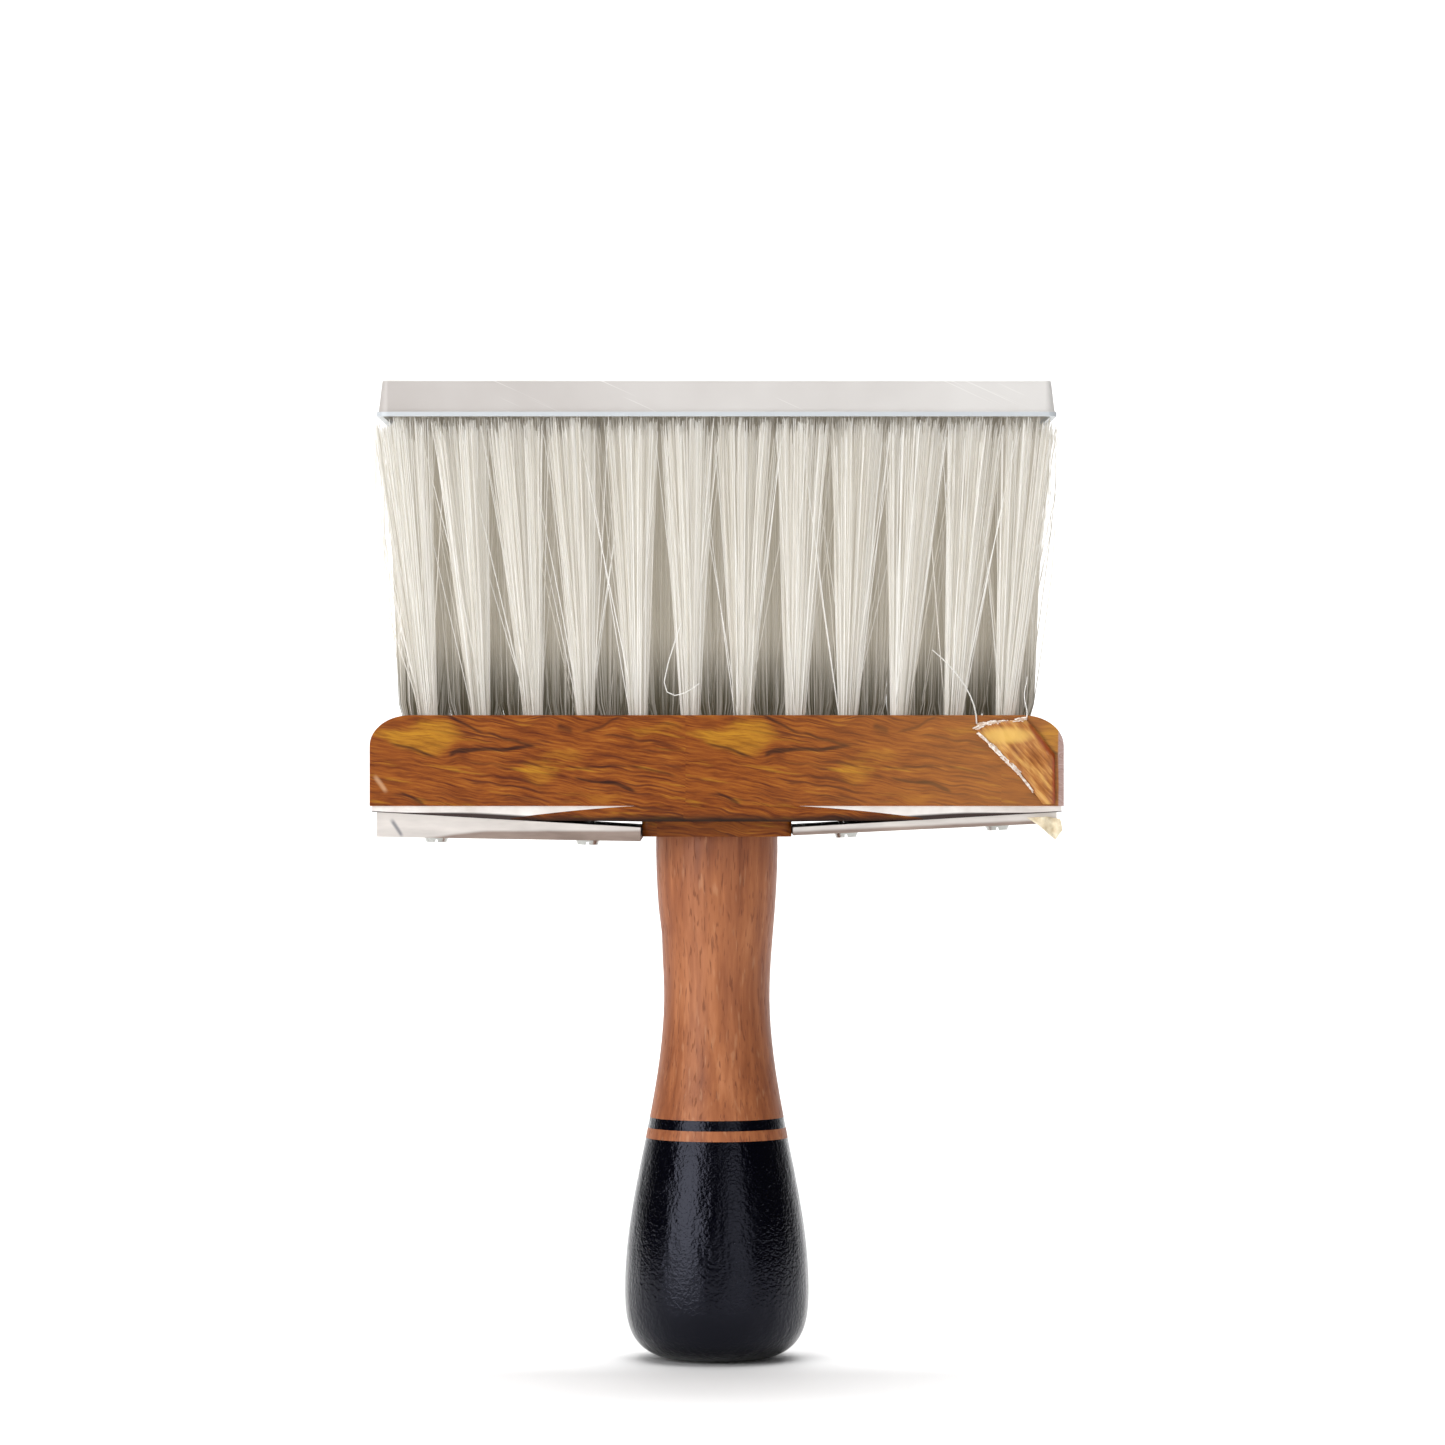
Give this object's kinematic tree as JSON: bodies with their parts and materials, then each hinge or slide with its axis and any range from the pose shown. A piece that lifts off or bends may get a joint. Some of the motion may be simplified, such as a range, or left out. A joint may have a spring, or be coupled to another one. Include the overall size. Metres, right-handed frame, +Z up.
{
  "type": "neck duster brush",
  "caption": "Barber's neck duster: wide flat block of soft pale tufts on a short turned wooden handle with a black grip bulb, tips under a slide-off guard.",
  "frame": {"origin": "centre of the flat foot at the bottom of the handle", "axes": "+Z up along the handle to the bristle tips, +X along the wide head, -Y the front"},
  "size_m": [0.12, 0.039, 0.171],
  "materials": {
    "handle_beech": "turned beech, oiled to a satin sheen, with short dark flecks",
    "black_lacquer": "thick dipped black lacquer, high gloss with a slight ripple",
    "stained_wood": "brown stained and varnished wood",
    "screw_steel": "plain zinc-plated steel",
    "wire_steel": "soft drawn steel wire",
    "block_core": "pale bare block, off-white",
    "woodgrain_foil": "printed wood-grain wrap, satin gloss",
    "pale_board": "thin cream board with grey-brown cut edges",
    "bristle": "fine soft off-white fibre, slightly glossy",
    "guard_plastic": "light warm grey plastic, satin, lightly scratched"
  },
  "bodies": {
    "brush": {"back_cover_left": "pale_board", "back_cover_right": "pale_board", "cover_screws": "screw_steel", "dowel_screw": "screw_steel", "draw_wire_row_1": "wire_steel", "draw_wire_row_2": "wire_steel", "draw_wire_row_3": "wire_steel", "draw_wire_row_4": "wire_steel", "handle": "handle_beech", "handle_black_dip": "black_lacquer", "handle_black_ring": "black_lacquer", "handle_collar": "stained_wood", "handle_saddle": "stained_wood", "stock_core": "block_core", "stock_foil": "woodgrain_foil", "tufts_row_1": "bristle", "tufts_row_2": "bristle", "tufts_row_3": "bristle", "tufts_row_4": "bristle"},
    "guard": {"bristle_guard": "guard_plastic"}
  },
  "joints": [
    {"name": "guard_slide", "type": "slide", "parent": "brush", "child": "guard", "axis": [0, 0, 1], "range_m": [0, 0.02]}
  ]
}
